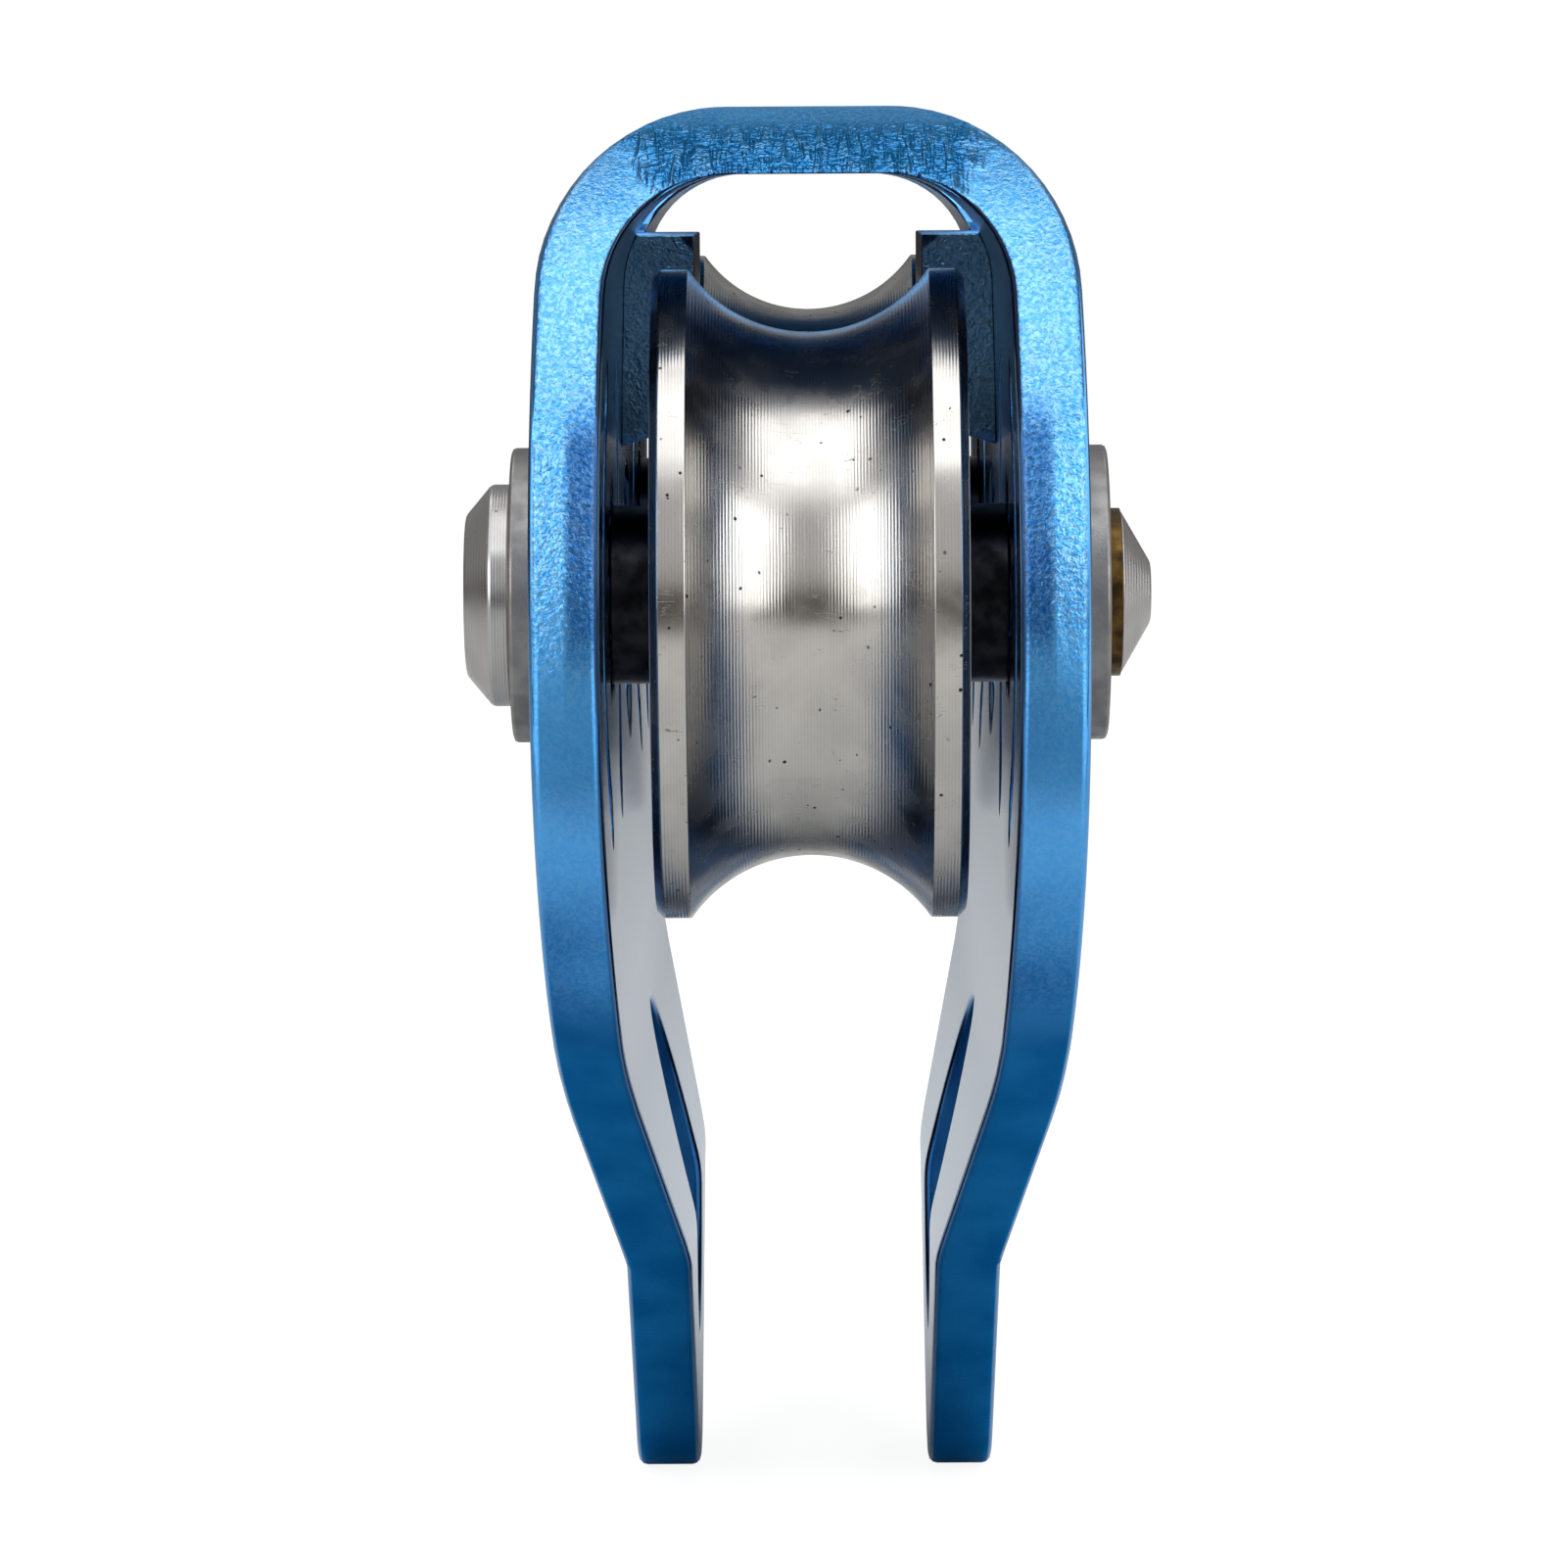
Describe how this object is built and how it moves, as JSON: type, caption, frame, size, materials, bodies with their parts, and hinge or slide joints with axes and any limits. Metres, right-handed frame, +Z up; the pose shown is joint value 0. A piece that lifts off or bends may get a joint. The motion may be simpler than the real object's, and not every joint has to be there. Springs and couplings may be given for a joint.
{
  "type": "zip line pulley",
  "caption": "Tandem zip line pulley with a one-piece arched body, grooved steel sheaves on ball bearings, a carabiner eye and a centre hole.",
  "frame": {"origin": "centre of the carabiner eye, midway between the two side plates", "axes": "+X along the axles towards their closed ends, +Y along the cable, +Z up from the eye towards the cable"},
  "size_m": [0.0394, 0.1174, 0.085],
  "materials": {
    "anodised_body": "blue anodised, fine grained on the cut edge",
    "sheave_steel": "turned, with fine lines round the groove",
    "axle_steel": "turned",
    "washer_steel": "satin, edges a little marked",
    "black_spacer": "black oxide, satin",
    "golden_collar": "dull",
    "bearing_steel": "ground",
    "shield_steel": "pressed",
    "cage_polymer": "moulded"
  },
  "bodies": {
    "frame": {"body": "anodised_body", "front_axle": "axle_steel", "front_collar": "golden_collar", "front_bearing_spacer": "axle_steel", "front_left_washer": "washer_steel", "front_left_spacer": "black_spacer", "front_left_bearing_inner_ring": "bearing_steel", "front_right_washer": "washer_steel", "front_right_spacer": "black_spacer", "front_right_bearing_inner_ring": "bearing_steel", "rear_axle": "axle_steel", "rear_collar": "golden_collar", "rear_bearing_spacer": "axle_steel", "rear_left_washer": "washer_steel", "rear_left_spacer": "black_spacer", "rear_left_bearing_inner_ring": "bearing_steel", "rear_right_washer": "washer_steel", "rear_right_spacer": "black_spacer", "rear_right_bearing_inner_ring": "bearing_steel"},
    "front_sheave": {"front_sheave": "sheave_steel", "front_left_bearing_outer_ring": "bearing_steel", "front_left_bearing_outer_shield": "shield_steel", "front_left_bearing_inner_shield": "shield_steel", "front_right_bearing_outer_ring": "bearing_steel", "front_right_bearing_outer_shield": "shield_steel", "front_right_bearing_inner_shield": "shield_steel"},
    "front_balls": {"front_left_bearing_balls": "bearing_steel", "front_left_bearing_cage": "cage_polymer", "front_right_bearing_balls": "bearing_steel", "front_right_bearing_cage": "cage_polymer"},
    "rear_sheave": {"rear_sheave": "sheave_steel", "rear_left_bearing_outer_ring": "bearing_steel", "rear_left_bearing_outer_shield": "shield_steel", "rear_left_bearing_inner_shield": "shield_steel", "rear_right_bearing_outer_ring": "bearing_steel", "rear_right_bearing_outer_shield": "shield_steel", "rear_right_bearing_inner_shield": "shield_steel"},
    "rear_balls": {"rear_left_bearing_balls": "bearing_steel", "rear_left_bearing_cage": "cage_polymer", "rear_right_bearing_balls": "bearing_steel", "rear_right_bearing_cage": "cage_polymer"}
  },
  "joints": [
    {"name": "front_spin", "type": "hinge", "parent": "frame", "child": "front_sheave", "pos_m": [0, -0.0343, 0.038], "axis": [1, 0, 0], "continuous": true},
    {"name": "front_ball_orbit", "type": "hinge", "parent": "frame", "child": "front_balls", "pos_m": [0, -0.0343, 0.038], "axis": [1, 0, 0], "continuous": true},
    {"name": "rear_spin", "type": "hinge", "parent": "frame", "child": "rear_sheave", "pos_m": [0, 0.0343, 0.038], "axis": [1, 0, 0], "continuous": true},
    {"name": "rear_ball_orbit", "type": "hinge", "parent": "frame", "child": "rear_balls", "pos_m": [0, 0.0343, 0.038], "axis": [1, 0, 0], "continuous": true}
  ],
  "couplings": [
    {"joint": "front_ball_orbit", "follows": "front_spin", "ratio": 0.6318},
    {"joint": "rear_ball_orbit", "follows": "rear_spin", "ratio": 0.6318}
  ]
}
